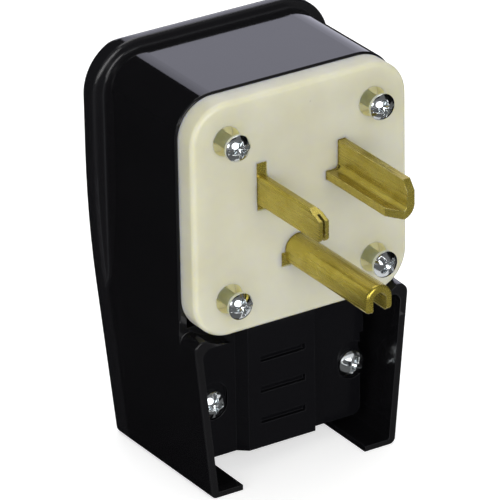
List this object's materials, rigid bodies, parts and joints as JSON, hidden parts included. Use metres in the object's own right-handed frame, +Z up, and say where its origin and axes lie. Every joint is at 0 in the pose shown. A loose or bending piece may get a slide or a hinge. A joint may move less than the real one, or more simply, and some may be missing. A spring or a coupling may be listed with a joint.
{
  "type": "angled power plug",
  "caption": "Right-angle power plug with straight, L and U blades, a screwed face plate, a cord clamp and a rimmed housing open below for the cord.",
  "frame": {"origin": "middle of the face plate's front, where the plug meets the outlet", "axes": "-Y along the blades into the outlet, +Z up, away from the cord entry, +X to the right when the face is looked at"},
  "size_m": [0.0656, 0.0775, 0.1033],
  "materials": {
    "housing_plastic": "glossy black",
    "plate_nylon": "satin cream",
    "block_plastic": "matte dark brown",
    "blade_brass": "aged, fine lines",
    "clamp_plastic": "glossy black",
    "screw_steel": "bright zinc",
    "insert_brass": "plain turned",
    "pressure_steel": "plain pressed"
  },
  "bodies": {
    "root": {"housing": "housing_plastic", "face_plate": "plate_nylon", "terminal_block": "block_plastic", "straight_blade": "blade_brass", "l_blade": "blade_brass", "ground_pin": "blade_brass", "cord_clamp": "clamp_plastic", "assembly_screw_upper_left": "screw_steel", "assembly_screw_upper_right": "screw_steel", "assembly_screw_lower_left": "screw_steel", "assembly_screw_lower_right": "screw_steel", "assembly_insert_upper_left": "insert_brass", "assembly_insert_upper_right": "insert_brass", "assembly_insert_lower_left": "insert_brass", "assembly_insert_lower_right": "insert_brass", "clamp_screw_left": "screw_steel", "clamp_screw_right": "screw_steel", "clamp_insert_left": "insert_brass", "clamp_insert_right": "insert_brass", "pressure_plate_straight": "pressure_steel", "pressure_plate_l": "pressure_steel", "pressure_plate_ground": "pressure_steel", "terminal_screw_straight": "screw_steel", "terminal_screw_l": "screw_steel", "terminal_screw_ground": "screw_steel"}
  },
  "joints": []
}
